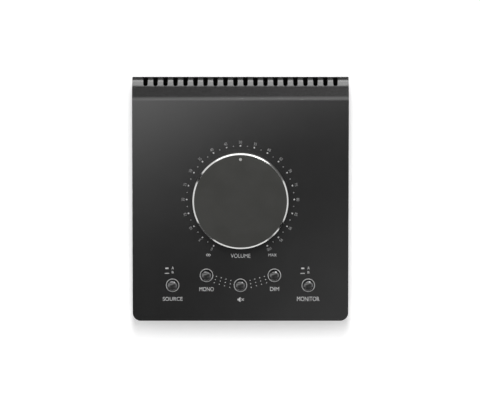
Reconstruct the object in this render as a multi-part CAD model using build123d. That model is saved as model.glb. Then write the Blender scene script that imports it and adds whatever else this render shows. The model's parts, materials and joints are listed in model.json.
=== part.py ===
from build123d import *
import math
import os

# Passive studio monitor controller for the desktop. A folded steel cover makes the sloping
# control panel, with a large volume knob and five latching push buttons, over a steel tray
# and a connector panel with eight phone jacks.
# Millimetres. X runs to the right, Y to the rear and Z up. The origin is at the middle of
# the footprint, on the surface that the feet stand on.

# Housing
housing_width = 133.0
housing_depth = 150.5
sheet = 1.5
fit_gap = 0.2  # between the cover and what it covers
past = 1.0  # how far a cutter runs past what it cuts
above_all = 60.0  # a height over the whole object
panel_slope = 5.0
band_slope = 12.0
ridge_height = 44.0
ridge_from_rear = 13.65
ridge_radius = 10.0
rear_bend_radius = 8.4
front_corner_radius = 5.0
cover_lip_bottom = 31.5

# Ventilation slots over the rear bend
slot_count = 20
slot_pitch = 6.136
slot_width = 2.6
slot_corner = 0.8
slot_from_rear = 6.1
slot_bottom = 33.6

# Tray and rear connector panel
foot_height = 3.0
foot_radius = 6.0
foot_taper = 0.8
foot_inset_side = 12.0
foot_inset_end = 15.0
tray_inset = 2.5
tray_bend = 2.0
rear_panel_recess = 4.0  # from the cover's rear face
rear_panel_top = 33.0
shelf_inset = 2.3  # at each end, clear of the flanges' bends
flange_depth = 12.0
flange_low = 8.0
flange_high = 31.0

# Knob, measured from the panel's surface
knob_from_front = 74.85
knob_radius = 29.3
knob_top = 13.6
knob_lift = 0.8
knob_wall = 3.0
knob_crown = 2.5
knob_chamfer = 1.0
pointer_radius = 0.9
pointer_depth = 0.8
pointer_play = 0.02
pointer_from_axis = 25.6
hub_radius = 7.5
hub_bottom = 5.2
hub_roof = 0.1

# Volume potentiometer
pot_side = 17.0
pot_height = 9.0
bushing_radius = 4.5
bushing_proud = 4.5
shaft_radius = 3.0
shaft_clearance = 0.05
shaft_end_gap = 0.2
pot_chamfer = 1.5
pot_floor = 1.0
thread_clearance = 0.05
pot_nut_width = 12.0
pot_nut_height = 2.0

# Push buttons, named by what they switch
button_pitch = 20.92
front_row = 53.1  # from the knob's axis, down the slope
back_row = 46.93
buttons = {
    "source": (-2 * button_pitch, -front_row),
    "mono": (-button_pitch, -back_row),
    "mute": (0.0, -front_row),
    "dim": (button_pitch, -back_row),
    "monitor": (2 * button_pitch, -front_row),
}
button_hole_radius = 3.5
cap_radius = 3.1
cap_shoulder = 3.6
cap_top = 4.6
cap_flat = 1.6
cap_bottom = -3.0
button_travel = 3.0
plunger_side = 2.6
plunger_play = 0.1  # in the switch, on each side
plunger_fit = 0.02  # in the cap, on each side
plunger_top = 1.2
plunger_end_gap = 0.6  # above the board, with the button pressed
switch_side = 8.5
switch_height = 5.5
switch_chamfer = 0.6
spring_radius = 2.35
spring_wire = 0.4
spring_turns = 3
spring_sides = 8

# Boards
board = 1.6
board_drop = 12.0  # from the panel's inner face to the board
control_board_width = 112.0
control_board_front = -65.0
control_board_back = 28.0
spacer_width = 5.5
spacer_x = 49.0
spacer_front = -61.0
spacer_back = 24.0

# Phone jacks, 6.35 mm
jack_columns = (-40.5, -13.5, 13.5, 40.5)
jack_rows = {"monitor": 11.5, "source": 24.5}
jack_width = 15.0
jack_height = 12.6
jack_depth = 26.0
jack_bore_radius = 3.25
jack_floor = 1.5
jack_mouth_recess = 0.2  # from the cover's rear face
jack_nut_width = 11.0
jack_nut_height = 2.4
jack_board_width = 112.0
jack_board_low = 6.0
jack_board_high = 33.0

# Screws, rails and the ribbon cable
hidden_sides = 12
barrel_sides = 24
screw_radius = 1.5
screw_play = 0.2
screw_length = 6.0
screw_head_radius = 2.75
screw_head = 1.8
rail_width = 8.0
rail_drop = 10.5
rail_front = -66.0
rail_back = 50.0
rail_screw_drop = 6.5
rail_screws = (-50.0, 35.0)
flange_screws = (20.0,)
header_length = 25.0
header_width = 6.0
header_height = 8.0
header_from_axis = 17.0
ribbon_width = 20.3
ribbon = 0.9
ribbon_bend = 5.0
ribbon_height = 10.5

# Places worked out from the sizes above
front_y = -housing_depth / 2
rear_y = housing_depth / 2
ridge_y = rear_y - ridge_from_rear
knob_y = front_y + knob_from_front
slope_tan = math.tan(math.radians(panel_slope))
band_tan = math.tan(math.radians(band_slope))
slope_cos = math.cos(math.radians(panel_slope))
band_cos = math.cos(math.radians(band_slope))
tray_width = housing_width - 2 * tray_inset
tray_front = front_y + tray_inset
tray_back = rear_y - sheet - fit_gap
tray_floor = foot_height + sheet
panel_back_y = rear_y - rear_panel_recess  # the connector panel's outer face
panel_inner_y = panel_back_y - sheet
jack_back_y = panel_inner_y - jack_depth
jack_mouth_y = rear_y - jack_mouth_recess
board_top = -(sheet + board_drop)
board_under = board_top - board
switch_top = board_top + switch_height
pot_top = board_top + pot_height
knob_z = ridge_height - (ridge_y - knob_y) * slope_tan
bend_y = rear_y - rear_bend_radius
bend_z = ridge_height - (bend_y - ridge_y) * band_tan - rear_bend_radius / band_cos

# The sloping panel: its origin is on the knob's axis at the surface, and its Y runs up the slope.
slope_sin = slope_tan * slope_cos
panel = Plane(origin=(0, knob_y, knob_z), x_dir=(1, 0, 0), z_dir=(0, -slope_sin, slope_cos))


def block(low, high):
    """A box between two corners."""
    size = [b - a for a, b in zip(low, high)]
    middle = [(a + b) / 2 for a, b in zip(low, high)]
    return Pos(*middle) * Box(*size)


def rod(radius, low, high):
    """A round bar along Z between two heights."""
    return Pos(0, 0, (low + high) / 2) * Cylinder(radius, high - low)


def prism(width, sides, low, high):
    """A regular bar along Z between two heights, with its width across flats."""
    outline = RegularPolygon(width / 2, sides, major_radius=False)
    return extrude(Pos(0, 0, low) * outline, high - low)


def hidden_hole(radius, low, high):
    """A cutter for a round hole that a nut, a head or the knob covers, drawn with few flats."""
    return prism(2 * radius, hidden_sides, low, high)


def barrel(radius, low, high):
    """A threaded bushing, drawn as a bar with many flats."""
    return prism(2 * radius, barrel_sides, low, high)


def cheese_screw(length):
    """A screw along Z, with its head's underside at zero and its shank below."""
    head = prism(2 * screw_head_radius, hidden_sides, 0, screw_head)
    return head + prism(2 * screw_radius, hidden_sides, -length, 0)


def housing_side(inset, front, bottom):
    """The housing seen from the side, taken in from the cover's outer face by inset."""
    ridge_shift = inset * (1 / slope_cos - 1 / band_cos) / (slope_tan + band_tan)
    crest_y = ridge_y + ridge_shift
    crest_z = ridge_height + ridge_shift * slope_tan - inset / slope_cos
    front_z = crest_z - (crest_y - front) * slope_tan
    rear = rear_y - inset
    corner_z = crest_z - (rear - crest_y) * band_tan
    points = [(front, front_z), (crest_y, crest_z), (rear, corner_z), (rear, bottom), (front, bottom)]
    rounds = [0, ridge_radius - inset, rear_bend_radius - inset, 0, 0]
    return Plane.YZ * make_face(FilletPolyline(*points, radius=rounds, close=True))


def vent_slot():
    """A cutter for one slot, punched through the rear bend, with the corners of its front end cut off."""
    half = slot_width / 2
    over = block((-half, rear_y - slot_from_rear, bend_z), (half, rear_y + past, above_all))
    over = chamfer(over.edges().filter_by(Axis.Z).group_by(Axis.Y)[0], slot_corner)
    return over + block((-half, bend_y, slot_bottom), (half, rear_y + past, bend_z))


def top_cover():
    outline = Pos(0, front_y + housing_depth / 2) * Rectangle(housing_width, housing_depth)
    outline = fillet(outline.vertices().sort_by(Axis.Y)[:2], front_corner_radius)
    outside = extrude(housing_side(0, front_y, 0), housing_width / 2, both=True)
    outside = outside & extrude(outline, 2 * ridge_height)
    inside = extrude(housing_side(sheet, front_y - past, -past), housing_width, both=True)
    cover = outside - inside
    cover -= block((-housing_width, bend_y, -past), (housing_width, rear_y + past, cover_lip_bottom))
    cutter = vent_slot()
    for k in range(slot_count):
        cover -= Pos((k - (slot_count - 1) / 2) * slot_pitch, 0, 0) * cutter
    cover -= panel * hidden_hole(bushing_radius + screw_play, -2 * sheet, sheet)
    for x, y in buttons.values():
        cover -= panel * Pos(x, y, 0) * rod(button_hole_radius, -2 * sheet, sheet)
    return cover


def cover_rails():
    """Two angles under the panel's long edges, which the side screws cut their threads in."""
    wall_face = tray_width / 2 - sheet - fit_gap / 2
    rails = []
    for side in (-1, 1):
        top = block((wall_face - rail_width, rail_front, -2 * sheet), (wall_face, rail_back, -sheet))
        leg = block((wall_face - sheet, rail_front, -rail_drop), (wall_face, rail_back, -sheet))
        rail = top + leg
        for y in rail_screws:
            hole = hidden_hole(screw_radius + thread_clearance, 0, wall_face + past)
            rail -= Pos(0, y, -rail_screw_drop) * Rot(0, 90, 0) * hole
        rails.append(panel * (rail if side > 0 else mirror(rail, Plane.YZ)))
    return Compound(children=rails)


def side_screw_places():
    """Where the screws go through the tray's side walls: the rails' and the connector panel's."""
    places = [(panel * Pos(0, y, -rail_screw_drop)).position for y in rail_screws]
    spots = [(place.Y, place.Z) for place in places]
    return spots + [(panel_inner_y - flange_depth / 2, z) for z in flange_screws]


def base_tray():
    side_view = housing_side(sheet + fit_gap, tray_front, foot_height)
    body = extrude(side_view, tray_width / 2, both=True)
    body -= block((-tray_width, tray_back, -past), (tray_width, rear_y + past, above_all))
    folds = [e for e in body.edges() if fold_edge(e, tray_width / 2, tray_front, foot_height)]
    body = fillet(folds, tray_bend)
    inner_x = tray_width / 2 - sheet
    inner_y = tray_front + sheet
    hollow = block((-inner_x, inner_y, tray_floor), (inner_x, rear_y + past, above_all))
    tray = body - hollow
    for y, z in side_screw_places():
        hole = hidden_hole(screw_radius + screw_play, -tray_width, tray_width)
        tray -= Pos(0, y, z) * Rot(0, 90, 0) * hole
    return tray


def fold_edge(edge, side, front, bottom):
    """Is this an edge that the tray's sheet is folded along?"""
    middle = edge.center()
    at_side = abs(abs(middle.X) - side) < 0.01
    at_front = abs(middle.Y - front) < 0.01
    at_bottom = abs(middle.Z - bottom) < 0.01
    return at_side + at_front + at_bottom == 2 and (at_bottom or middle.Z < ridge_height / 2)


def rear_shelf(half):
    """The connector panel's top flange, folded to the rear under the slots until it meets the cover."""
    return block((-half, panel_inner_y, rear_panel_top - sheet), (half, rear_y - sheet, rear_panel_top))


def shelf_fold(edge):
    """Is this the edge that the shelf is folded along?"""
    middle = edge.center()
    return abs(middle.Y - panel_inner_y) < 0.01 and abs(middle.Z - rear_panel_top) < 0.01


def rear_panel():
    half = tray_width / 2 - sheet - fit_gap / 2
    low = tray_floor + fit_gap / 2
    front = panel_inner_y - flange_depth
    outer = block((-half, front, low), (half, panel_back_y, rear_panel_top - sheet))
    outer = fillet(outer.edges().filter_by(Axis.Z).group_by(Axis.Y)[-1], tray_bend)
    inner = block((sheet - half, front - past, 0), (half - sheet, panel_inner_y, above_all))
    plate = outer - inner + rear_shelf(half - shelf_inset)
    bend = panel_inner_y - tray_bend
    plate -= block((-half - past, front - past, 0), (half + past, bend, flange_low))
    plate -= block((-half - past, front - past, flange_high), (half + past, bend, above_all))
    plate = fillet(plate.edges().filter_by(Axis.X).filter_by(shelf_fold), tray_bend)
    for z in jack_rows.values():
        for x in jack_columns:
            hole = rod(bushing_radius + screw_play, -2 * sheet, 2 * sheet)
            plate -= Pos(x, panel_back_y, z) * Rot(90, 0, 0) * hole
    for z in flange_screws:
        hole = hidden_hole(screw_radius + thread_clearance, -half - past, half + past)
        plate -= Pos(0, panel_inner_y - flange_depth / 2, z) * Rot(0, 90, 0) * hole
    return plate


def side_screws():
    screws = []
    for y, z in side_screw_places():
        screws.append(Pos(tray_width / 2, y, z) * Rot(0, 90, 0) * cheese_screw(screw_length))
        screws.append(Pos(-tray_width / 2, y, z) * Rot(0, -90, 0) * cheese_screw(screw_length))
    return Compound(children=screws)


def foot(x, y):
    """A round rubber foot, drawn with many flats, that widens towards the tray."""
    outline = RegularPolygon(foot_radius - foot_taper, barrel_sides)
    flare = math.degrees(math.atan(foot_taper / foot_height))
    return Pos(x, y, 0) * extrude(outline, foot_height, taper=-flare)


def spacer_places():
    return [(x, y) for x in (-spacer_x, spacer_x) for y in (spacer_front, spacer_back)]


def board_spacers():
    bar = prism(spacer_width, 6, board_top, -sheet)
    bar -= hidden_hole(screw_radius + thread_clearance, board_top - past, board_top + screw_length)
    return Compound(children=[panel * Pos(x, y, 0) * bar for x, y in spacer_places()])


def board_screws():
    screw = Rot(180, 0, 0) * cheese_screw(screw_length)
    return Compound(children=[panel * Pos(x, y, board_under) * screw for x, y in spacer_places()])


def control_board():
    half = control_board_width / 2
    plate = block((-half, control_board_front, board_under), (half, control_board_back, board_top))
    for x, y in spacer_places():
        hole = hidden_hole(screw_radius + screw_play, board_under - past, board_top + past)
        plate -= Pos(x, y, 0) * hole
    return panel * plate


def pot_housing():
    """The potentiometer: a square case on the board, and the threaded bushing on it."""
    half = pot_side / 2
    case = block((-half, -half, board_top), (half, half, pot_top))
    case = chamfer(case.edges().filter_by(Axis.Z), pot_chamfer)
    bushing = barrel(bushing_radius, pot_top, bushing_proud)
    bore = hidden_hole(shaft_radius + shaft_clearance, board_top + pot_floor, bushing_proud + past)
    return panel * (case + bushing - bore)


def bushing_nut(width, height):
    """A nut on a threaded bushing, with its underside at zero."""
    hole = hidden_hole(bushing_radius + thread_clearance, -past, height + past)
    return prism(width, 6, 0, height) - hole


def pot_shaft():
    low = board_top + pot_floor + shaft_end_gap
    return panel * rod(shaft_radius, low, knob_top - knob_crown - shaft_end_gap)


def knob_shell():
    outer = rod(knob_radius, knob_lift, knob_top)
    outer = chamfer(outer.edges().group_by(Axis.Z)[-1], knob_chamfer)
    inner = rod(knob_radius - knob_wall, 0, knob_top - knob_crown)
    pocket = Pos(0, pointer_from_axis, 0) * rod(pointer_radius, knob_top - pointer_depth, knob_top + past)
    return panel * (outer - inner - pocket)


def knob_hub():
    """The boss under the knob's crown, pushed on the end of the shaft."""
    crown = knob_top - knob_crown
    boss = rod(hub_radius, hub_bottom, crown)
    return panel * (boss - hidden_hole(shaft_radius + shaft_clearance, 0, crown - hub_roof))


def knob_pointer():
    dot = rod(pointer_radius - pointer_play, knob_top - pointer_depth, knob_top)
    return panel * Pos(0, pointer_from_axis, 0) * dot


def switch_housing(x, y):
    half = switch_side / 2
    case = block((-half, -half, board_top), (half, half, switch_top))
    case = chamfer(case.edges().group_by(Axis.Z)[-1], switch_chamfer)
    way = plunger_side + 2 * plunger_play
    case -= Box(way, way, above_all)
    return panel * Pos(x, y, 0) * case


def plunger(x, y):
    half = plunger_side / 2
    low = board_top + button_travel + plunger_end_gap
    stem = block((-half, -half, low), (half, half, plunger_top))
    return panel * Pos(x, y, 0) * stem


def return_spring(x, y):
    """A coil of square wire round the plunger, between the switch and the cap."""
    low = switch_top + spring_wire
    rise = cap_bottom - spring_wire - low
    steps = spring_turns * spring_sides
    points = []
    for k in range(steps + 1):
        turn = math.radians(360 * k / spring_sides)
        across = spring_radius * math.cos(turn)
        along = spring_radius * math.sin(turn)
        points.append((across, along, low + rise * k / steps))
    path = Polyline(*points)
    section = Plane(origin=path @ 0, z_dir=path % 0) * Rectangle(spring_wire, spring_wire)
    coil = sweep(section, path=path, transition=Transition.RIGHT)
    return panel * Pos(x, y, 0) * coil


def button_cap(x, y):
    """A round cap with a low sloping crown, hollow below for the plunger."""
    crown = Cone(cap_radius, cap_flat, cap_top - cap_shoulder)
    cap = rod(cap_radius, cap_bottom, cap_shoulder) + Pos(0, 0, (cap_shoulder + cap_top) / 2) * crown
    way = plunger_side + 2 * plunger_fit
    cap -= block((-way / 2, -way / 2, cap_bottom - past), (way / 2, way / 2, plunger_top))
    return panel * Pos(x, y, 0) * cap


def jack(x, z):
    """A phone jack: its body stands on the jack board, and its bushing goes through the panel."""
    half = jack_width / 2
    body = block((-half, jack_back_y, -jack_height / 2), (half, panel_inner_y, jack_height / 2))
    bushing = Rot(-90, 0, 0) * barrel(bushing_radius, panel_inner_y, jack_mouth_y)
    bore = Rot(-90, 0, 0) * rod(jack_bore_radius, jack_back_y + jack_floor, jack_mouth_y + past)
    return Pos(x, 0, z) * (body + bushing - bore)


def at_every_jack(piece):
    """Copies of a piece modelled along Z, with zero at the connector panel's outer face."""
    places = [(x, z) for z in jack_rows.values() for x in jack_columns]
    return Compound(children=[Pos(x, panel_back_y, z) * Rot(-90, 0, 0) * piece for x, z in places])


def jack_board():
    half = jack_board_width / 2
    return block((-half, jack_back_y - board, jack_board_low), (half, jack_back_y, jack_board_high))


def control_header():
    half = header_length / 2
    low = (-half, header_from_axis - header_width / 2, board_under - header_height)
    return panel * block(low, (half, header_from_axis + header_width / 2, board_under))


def jack_header():
    half = header_length / 2
    back = jack_back_y - board
    low = (-half, back - header_height, ribbon_height - header_width / 2)
    return block(low, (half, back, ribbon_height + header_width / 2))


def ribbon_cable():
    """A flat cable that drops from the control board's header and turns to the jack board's."""
    start = (panel * Pos(0, header_from_axis, board_under - header_height)).position
    down = -panel.z_dir
    run = (start.Z - ribbon_height) / -down.Z
    corner = (start.Y + run * down.Y, ribbon_height)
    end = (jack_back_y - board - header_height, ribbon_height)
    line = FilletPolyline((start.Y, start.Z), corner, end, radius=ribbon_bend)
    strip = trace(line, ribbon)
    return extrude(Plane.YZ * strip, ribbon_width / 2, both=True)


def write_parts():
    nodes = {
        "top_cover": top_cover(),
        "cover_rails": cover_rails(),
        "base_tray": base_tray(),
        "rear_panel": rear_panel(),
        "side_screws": side_screws(),
        "board_spacers": board_spacers(),
        "board_screws": board_screws(),
        "control_board": control_board(),
        "jack_board": jack_board(),
        "pot_housing": pot_housing(),
        "pot_nut": panel * bushing_nut(pot_nut_width, pot_nut_height),
        "pot_shaft": pot_shaft(),
        "knob_shell": knob_shell(),
        "knob_hub": knob_hub(),
        "knob_pointer": knob_pointer(),
        "jack_nuts": at_every_jack(bushing_nut(jack_nut_width, jack_nut_height)),
        "control_header": control_header(),
        "jack_header": jack_header(),
        "ribbon_cable": ribbon_cable(),
    }
    foot_x = tray_width / 2 - foot_inset_side
    foot_ys = {"front": tray_front + foot_inset_end, "rear": tray_back - foot_inset_end}
    for end, y in foot_ys.items():
        nodes[f"{end}_feet"] = Compound(children=[foot(-foot_x, y), foot(foot_x, y)])
    for name, (x, y) in buttons.items():
        nodes[f"{name}_switch"] = switch_housing(x, y)
        nodes[f"{name}_plunger"] = plunger(x, y)
        nodes[f"{name}_spring"] = return_spring(x, y)
        nodes[f"{name}_cap"] = button_cap(x, y)
    for row, z in jack_rows.items():
        for number, x in enumerate(jack_columns, 1):
            nodes[f"{row}_jack_{number}"] = jack(x, z)
    os.makedirs("parts", exist_ok=True)
    for name, shape in nodes.items():
        export_step(shape, f"parts/{name}.step")


write_parts()
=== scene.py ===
import bpy
import bmesh
import json
import math
from mathutils import Matrix, Vector


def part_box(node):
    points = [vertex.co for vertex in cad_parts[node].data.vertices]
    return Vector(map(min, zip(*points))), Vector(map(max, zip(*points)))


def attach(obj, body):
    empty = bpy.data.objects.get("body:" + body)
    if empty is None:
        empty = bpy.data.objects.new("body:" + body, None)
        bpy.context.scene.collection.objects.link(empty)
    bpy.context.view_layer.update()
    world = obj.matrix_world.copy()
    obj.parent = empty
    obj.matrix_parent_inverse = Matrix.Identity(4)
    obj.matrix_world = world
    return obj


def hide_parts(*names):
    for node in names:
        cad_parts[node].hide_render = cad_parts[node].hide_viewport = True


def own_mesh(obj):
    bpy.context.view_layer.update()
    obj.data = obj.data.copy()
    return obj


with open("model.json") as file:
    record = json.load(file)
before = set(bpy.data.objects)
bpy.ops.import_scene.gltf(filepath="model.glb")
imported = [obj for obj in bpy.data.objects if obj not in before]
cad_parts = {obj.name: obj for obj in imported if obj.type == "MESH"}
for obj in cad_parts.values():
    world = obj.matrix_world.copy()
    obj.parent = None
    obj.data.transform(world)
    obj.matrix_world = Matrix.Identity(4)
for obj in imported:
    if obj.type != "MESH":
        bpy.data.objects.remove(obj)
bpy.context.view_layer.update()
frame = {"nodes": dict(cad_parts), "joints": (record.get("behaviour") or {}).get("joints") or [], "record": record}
mm = 0.001
touching = 0.02 * mm  # places closer than this count as one
weldGap = 1e-6  # points closer than this are merged
aligned = 0.999  # directions whose cosine is above this run alike
facing = 0.9  # a face whose normal has a larger share of an axis looks along it
roundShare = 0.3  # how far the middle of a rounding stands back from the corner
print("frame loaded")


def jointNamed(name):
    return next(joint for joint in frame["joints"] if joint["name"] == name)


# The sloping panel: origin on the knob's axis at the surface, X right, Y up the slope, Z outwards.
knobJoint = jointNamed("knob_turn")
panelNormal = -Vector(knobJoint["axis"]).normalized()
panelUp = panelNormal.cross(Vector((1, 0, 0)))
panelPlace = Matrix((Vector((1, 0, 0)), panelUp, panelNormal)).transposed().to_4x4()
panelPlace.translation = Vector(knobJoint["pos_m"])
panelBack = panelPlace.inverted()
buttonNames = ("source", "mono", "mute", "dim", "monitor")
coverLow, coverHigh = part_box("top_cover")


def spun(degrees):
    return Matrix.Rotation(math.radians(degrees), 4, "Z")


def onPanel(x, y, turn=0, up=0):  # a place on the panel, turned about its normal by some degrees
    return panelPlace @ Matrix.Translation((x, y, up)) @ spun(turn)


def clearSelection():
    if bpy.context.object and bpy.context.object.mode != "OBJECT":
        bpy.ops.object.mode_set(mode="OBJECT")
    bpy.ops.object.select_all(action="DESELECT")


def only(piece):
    clearSelection()
    piece.select_set(True)
    bpy.context.view_layer.objects.active = piece


def named(name):
    piece = bpy.context.object
    piece.name = name
    piece.data.name = name
    return piece


def settle(piece, place=None):
    if place is not None:
        piece.matrix_world = place @ piece.matrix_world
    only(piece)
    bpy.ops.object.transform_apply(location=True, rotation=True, scale=True)
    return piece


def blockBetween(low, high, name):
    clearSelection()
    middle = [(a + b) / 2 for a, b in zip(low, high)]
    size = [b - a for a, b in zip(low, high)]
    bpy.ops.mesh.primitive_cube_add(size=1, location=middle, scale=size)
    return settle(named(name))


def editPiece(piece):
    only(piece)
    bpy.ops.object.mode_set(mode="EDIT")
    bpy.ops.mesh.select_mode(type="VERT")
    bpy.ops.mesh.select_all(action="SELECT")


def leaveEdit():
    bpy.ops.object.mode_set(mode="OBJECT")


def pick(piece, kind, wanted):  # selects the faces or edges that pass a test, in edit mode
    bpy.ops.mesh.select_mode(type=kind)
    bpy.ops.mesh.select_all(action="DESELECT")
    mesh = bmesh.from_edit_mesh(piece.data)
    parts = mesh.faces if kind == "FACE" else mesh.edges
    for part in [part for part in parts if wanted(part)]:
        part.select_set(True)
    bmesh.update_edit_mesh(piece.data)


def edgeMiddle(edge):
    return (edge.verts[0].co + edge.verts[1].co) / 2


def edgeRuns(edge, axis):  # does the edge run along this axis?
    along = (edge.verts[1].co - edge.verts[0].co).normalized()
    return abs(along[axis]) > aligned


def near(a, b, slack=touching):
    return abs(a - b) < slack


def bevelPicked(radius, steps, turnAngle=math.pi / 2):  # rounds the picked edges to a true radius
    offset = radius * math.tan(turnAngle / 2)
    bpy.ops.mesh.bevel(offset=offset, offset_type="OFFSET", segments=steps, affect="EDGES")


def modify(piece, kind, **settings):
    only(piece)
    bpy.ops.object.modifier_add(type=kind)
    modifier = piece.modifiers[-1]
    for setting, value in settings.items():
        setattr(modifier, setting, value)
    bpy.ops.object.modifier_apply(modifier=modifier.name)


def carve(piece, cutter, operation="DIFFERENCE"):
    modify(piece, "BOOLEAN", object=cutter, operation=operation, solver="EXACT")
    bpy.data.objects.remove(cutter)


def softenEdges(piece, width, steps=2):
    modify(
        piece, "BEVEL", width=width, segments=steps, limit_method="ANGLE",
        angle_limit=math.radians(35), use_clamp_overlap=True, miter_outer="MITER_ARC",
    )


def smooth(piece, angle=32):
    only(piece)
    bpy.ops.object.shade_smooth_by_angle(angle=math.radians(angle))
    modify(piece, "WEIGHTED_NORMAL", mode="FACE_AREA", weight=80, keep_sharp=True)


def joined(pieces, name):
    clearSelection()
    for piece in pieces:
        piece.select_set(True)
    bpy.context.view_layer.objects.active = pieces[0]
    if len(pieces) > 1:
        bpy.ops.object.join()
    return named(name)


def copied(piece, place, name):
    double = piece.copy()
    double.data = piece.data.copy()
    double.name = name
    double.data.name = name
    bpy.context.scene.collection.objects.link(double)
    return settle(double, place)


def turned(name, stations, place, steps):  # a lathe: (radius, height) from one end to the other
    clearSelection()
    radius, height = stations[0]
    bpy.ops.mesh.primitive_circle_add(vertices=steps, radius=radius, location=(0, 0, height))
    piece = settle(named(name))
    editPiece(piece)
    for nextRadius, nextHeight in stations[1:]:
        rise = {"value": (0, 0, nextHeight - height)}
        bpy.ops.mesh.extrude_region_move(TRANSFORM_OT_translate=rise)
        if nextRadius == 0:
            bpy.ops.mesh.merge(type="CENTER")
            break
        growth = nextRadius / radius
        bpy.ops.transform.resize(value=(growth, growth, 1), center_override=(0, 0, nextHeight))
        radius, height = nextRadius, nextHeight
    bpy.ops.mesh.select_all(action="SELECT")
    bpy.ops.mesh.remove_doubles(threshold=weldGap)
    bpy.ops.mesh.fill_holes(sides=0)
    bpy.ops.mesh.normals_make_consistent(inside=False)
    volume = bmesh.from_edit_mesh(piece.data).calc_volume(signed=True)
    if volume < 0:  # very small ones come out reversed
        bpy.ops.mesh.flip_normals()
    leaveEdit()
    return settle(piece, place)


def feed(finish, node, sockets):  # each socket gets a value, or the output that drives it
    for socket, value in sockets.items():
        if isinstance(value, bpy.types.NodeSocket):
            finish.node_tree.links.new(value, node.inputs[socket])
        else:
            node.inputs[socket].default_value = value


def newFinish(name, sockets):
    finish = bpy.data.materials.new(name)
    finish.use_nodes = True
    shader = finish.node_tree.nodes["Principled BSDF"]
    feed(finish, shader, sockets)
    return finish, shader


def addNode(finish, kind, sockets=None, **settings):
    node = finish.node_tree.nodes.new(kind)
    for setting, value in settings.items():
        setattr(node, setting, value)
    feed(finish, node, sockets or {})
    return node


def objectSpace(finish):
    return addNode(finish, "ShaderNodeTexCoord").outputs["Object"]


def grain(finish, grainSize, detail, roughness=0.55, stretch=None):
    where = objectSpace(finish)
    if stretch:
        mapping = addNode(finish, "ShaderNodeMapping", {"Vector": where, "Scale": stretch})
        where = mapping.outputs["Vector"]
    noise = {"Vector": where, "Scale": 1 / grainSize, "Detail": detail, "Roughness": roughness}
    return addNode(finish, "ShaderNodeTexNoise", noise).outputs["Fac"]


def ramp(finish, source, low, high, lowAt=0.35, highAt=0.65):
    ends = {"From Min": lowAt, "From Max": highAt, "To Min": low, "To Max": high}
    return addNode(finish, "ShaderNodeMapRange", {"Value": source, **ends}).outputs["Result"]


def tint(finish, shader, source, dark, light):
    share = {"Factor": ramp(finish, source, 0, 1)}
    node = addNode(finish, "ShaderNodeMix", share, data_type="RGBA")
    colourInputs = [socket for socket in node.inputs if socket.type == "RGBA"]
    colourInputs[0].default_value = (*dark, 1)
    colourInputs[1].default_value = (*light, 1)
    colourOut = next(socket for socket in node.outputs if socket.type == "RGBA")
    feed(finish, shader, {"Base Color": colourOut})


def bump(finish, shader, source, depth):
    relief = {"Strength": 1.0, "Distance": depth, "Height": source}
    node = addNode(finish, "ShaderNodeBump", relief)
    feed(finish, shader, {"Normal": node.outputs["Normal"]})


surfaces = {  # size and detail of the clouds in the colour, how far the roughness goes down and up
    "steel": (18 * mm, 2, 0.04, 0.04),
    "metal": (5 * mm, 3, 0.05, 0.07),
    "plastic": (6 * mm, 3, 0.03, 0.05),
    "spun": (14 * mm, 2, 0.03, 0.03),
}


def weather(finish, shader, kind, speck, dark, light, gloss, depth, *ends):
    cloudSize, cloudDetail, smoother, rougher = surfaces[kind]
    tint(finish, shader, grain(finish, cloudSize, cloudDetail), dark, light)
    uneven = ramp(finish, speck, gloss - smoother, gloss + rougher, *ends)
    feed(finish, shader, {"Roughness": uneven})
    bump(finish, shader, speck, depth)
    return finish


def paintedSteel(name, dark, light, gloss, grainSize, depth, ior=1.5):
    finish, shader = newFinish(name, {"IOR": ior})
    return weather(finish, shader, "steel", grain(finish, grainSize, 2), dark, light, gloss, depth)


def plainMetal(name, dark, light, gloss, stretch=None, depth=0.004 * mm):
    finish, shader = newFinish(name, {"Metallic": 1.0})
    scratch = grain(finish, 0.35 * mm, 4, 0.6, stretch)
    return weather(finish, shader, "metal", scratch, dark, light, gloss, depth)


def mouldedPlastic(name, dark, light, gloss, grainSize=0.25 * mm, depth=0.01 * mm, ior=1.5):
    finish, shader = newFinish(name, {"IOR": ior})
    speck = grain(finish, grainSize, 2)
    return weather(finish, shader, "plastic", speck, dark, light, gloss, depth)


def grey(level):
    return (level, level, level)


def spunMetal(name, dark, light, gloss, ringGap, depth):  # turning marks round the knob's axis
    finish, shader = newFinish(name, {"Metallic": 0.35, "IOR": 1.45})
    place = {"Location": panelPlace.translation, "Rotation": panelPlace.to_euler()}
    place["Vector"] = objectSpace(finish)
    mapping = addNode(finish, "ShaderNodeMapping", place, vector_type="TEXTURE")
    ringWidth = 0.05
    waves = {"Scale": ringWidth / ringGap, "Distortion": 0.6, "Detail": 2.0}
    waves["Vector"] = mapping.outputs["Vector"]
    rings = addNode(finish, "ShaderNodeTexWave", waves, wave_type="RINGS", rings_direction="Z")
    marks = rings.outputs["Fac"]
    return weather(finish, shader, "spun", marks, dark, light, gloss, depth, 0, 1)


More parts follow.
